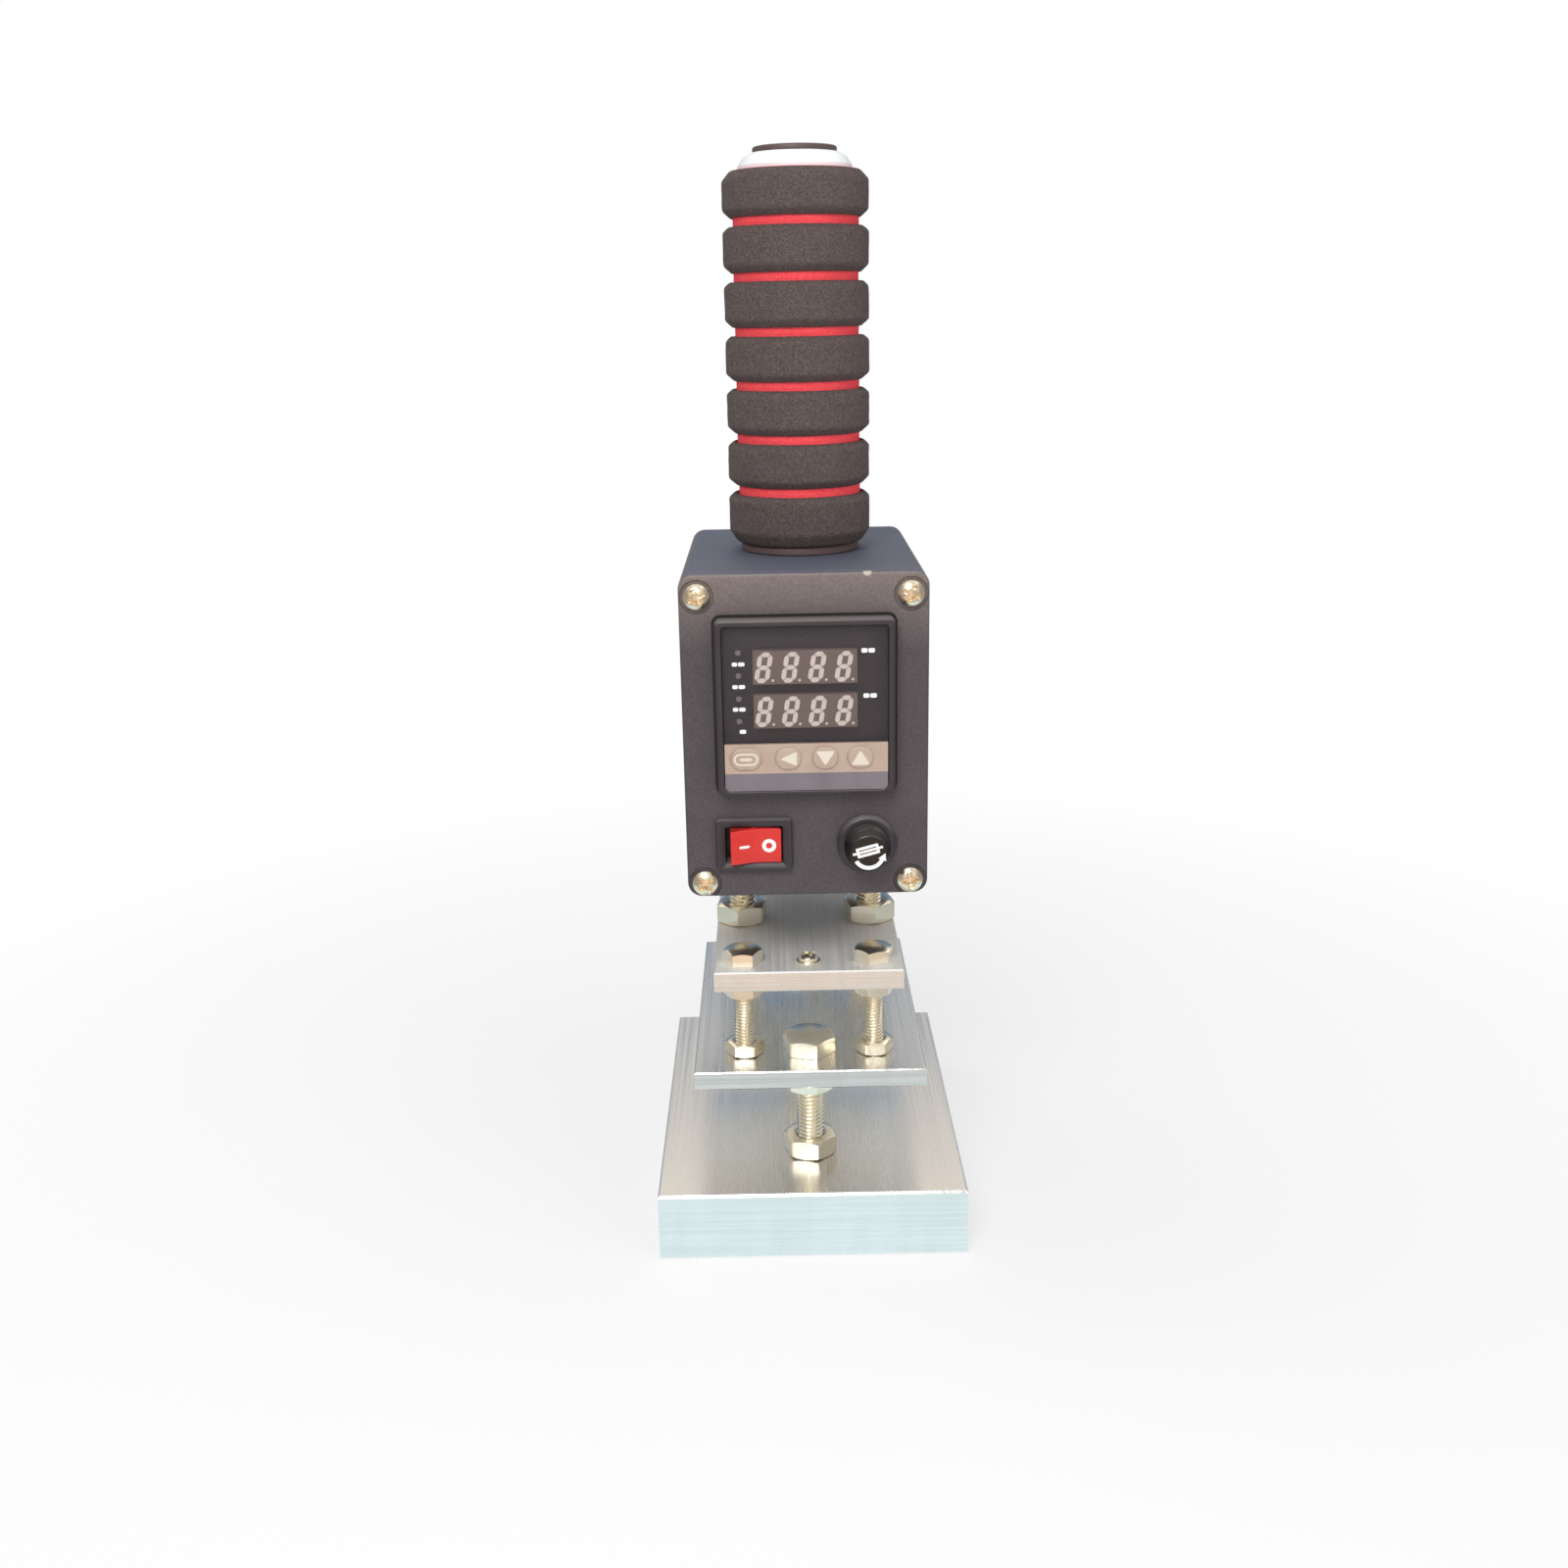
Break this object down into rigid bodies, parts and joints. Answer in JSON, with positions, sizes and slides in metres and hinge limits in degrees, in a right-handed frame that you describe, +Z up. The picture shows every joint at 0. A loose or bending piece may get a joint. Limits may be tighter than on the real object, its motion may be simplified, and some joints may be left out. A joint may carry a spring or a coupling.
{
  "type": "hot stamping machine",
  "caption": "Hand-held hot stamping machine: a heated aluminium block on bolted plates under a control box with a temperature meter, rocker switch, fuse holder and ribbed foam grip.",
  "frame": {"origin": "centre of the heater block's heated face, its underside", "axes": "+Z up through the grip, -Y the way the instrument panel faces, +X to the panel's right as it is read"},
  "size_m": [0.0886, 0.1358, 0.3036],
  "materials": {
    "aluminium": "milled, satin, with grain running front to back",
    "steel": "ground stainless steel",
    "plated_steel": "bright zinc or nickel plate",
    "coated_casting": "fine matt black powder coat on cast aluminium",
    "black_plastic": "satin black moulding",
    "smoked_window": "smoked clear plastic, glossy",
    "tan_membrane": "tan key strip over a grey strip",
    "red_plastic": "translucent red moulding",
    "white_plastic": "satin white moulding",
    "glass": "glass tube with nickel end caps",
    "sleeving": "braided glass-fibre sleeving",
    "red_foam": "closed-cell foam, matt",
    "black_foam": "closed-cell foam, matt, fine cut grain"
  },
  "bodies": {
    "machine": {"heater_block": "aluminium", "lower_plate": "aluminium", "upper_plate": "aluminium", "handle_core": "aluminium", "cartridge_heater_left": "steel", "cartridge_heater_right": "steel", "thermocouple_probe": "steel", "block_bolt_front": "plated_steel", "block_bolt_rear": "plated_steel", "block_jam_nut_front": "plated_steel", "block_jam_nut_rear": "plated_steel", "column_bolt_front_left": "plated_steel", "column_bolt_front_right": "plated_steel", "column_bolt_rear_left": "plated_steel", "column_bolt_rear_right": "plated_steel", "column_jam_nut_front_left": "plated_steel", "column_jam_nut_front_right": "plated_steel", "column_jam_nut_rear_left": "plated_steel", "column_jam_nut_rear_right": "plated_steel", "carrier_bolt_left": "plated_steel", "carrier_bolt_right": "plated_steel", "carrier_jam_nut_left": "plated_steel", "carrier_jam_nut_right": "plated_steel", "earth_screw": "plated_steel", "panel_screw_top_left": "plated_steel", "panel_screw_top_right": "plated_steel", "panel_screw_bottom_left": "plated_steel", "panel_screw_bottom_right": "plated_steel", "handle_bolt": "plated_steel", "handle_nut": "plated_steel", "enclosure_body": "coated_casting", "front_panel": "coated_casting", "meter_case": "black_plastic", "meter_clamp": "black_plastic", "switch_body": "black_plastic", "fuse_holder_body": "black_plastic", "fuse_holder_nut": "black_plastic", "handle_flange": "black_plastic", "cap_plug": "black_plastic", "cable_gland_body": "black_plastic", "cable_gland_nut": "black_plastic", "meter_window": "smoked_window", "meter_fascia": "tan_membrane", "handle_cap": "white_plastic", "heater_harness": "sleeving", "grip_red_layer": "red_foam", "grip_ring_1": "black_foam", "grip_ring_2": "black_foam", "grip_ring_3": "black_foam", "grip_ring_4": "black_foam", "grip_ring_5": "black_foam", "grip_ring_6": "black_foam", "grip_ring_7": "black_foam"},
    "rocker": {"switch_rocker": "red_plastic"},
    "key_function": {"meter_key_function": "tan_membrane"},
    "key_shift": {"meter_key_shift": "tan_membrane"},
    "key_down": {"meter_key_down": "tan_membrane"},
    "key_up": {"meter_key_up": "tan_membrane"},
    "fuse": {"glass_fuse": "glass"},
    "cap": {"fuse_cap": "black_plastic"}
  },
  "joints": [
    {"name": "rocker_tilt", "type": "hinge", "parent": "machine", "child": "rocker", "pos_m": [-0.0146, -0.046, 0.1203], "axis": [0, 0, -1], "range_deg": [0, 20]},
    {"name": "key_function_press", "type": "slide", "parent": "machine", "child": "key_function", "axis": [0, 1, 0], "range_m": [0, 0.0008], "stiffness_N_per_m": 300},
    {"name": "key_shift_press", "type": "slide", "parent": "machine", "child": "key_shift", "axis": [0, 1, 0], "range_m": [0, 0.0008], "stiffness_N_per_m": 300},
    {"name": "key_down_press", "type": "slide", "parent": "machine", "child": "key_down", "axis": [0, 1, 0], "range_m": [0, 0.0008], "stiffness_N_per_m": 300},
    {"name": "key_up_press", "type": "slide", "parent": "machine", "child": "key_up", "axis": [0, 1, 0], "range_m": [0, 0.0008], "stiffness_N_per_m": 300},
    {"name": "fuse_slide", "type": "slide", "parent": "machine", "child": "fuse", "axis": [0, -1, 0], "range_m": [0, 0.035]},
    {"name": "cap_turn", "type": "hinge", "parent": "fuse", "child": "cap", "pos_m": [0.0164, -0.05, 0.12], "axis": [0, 1, 0], "range_deg": [0, 60]}
  ]
}
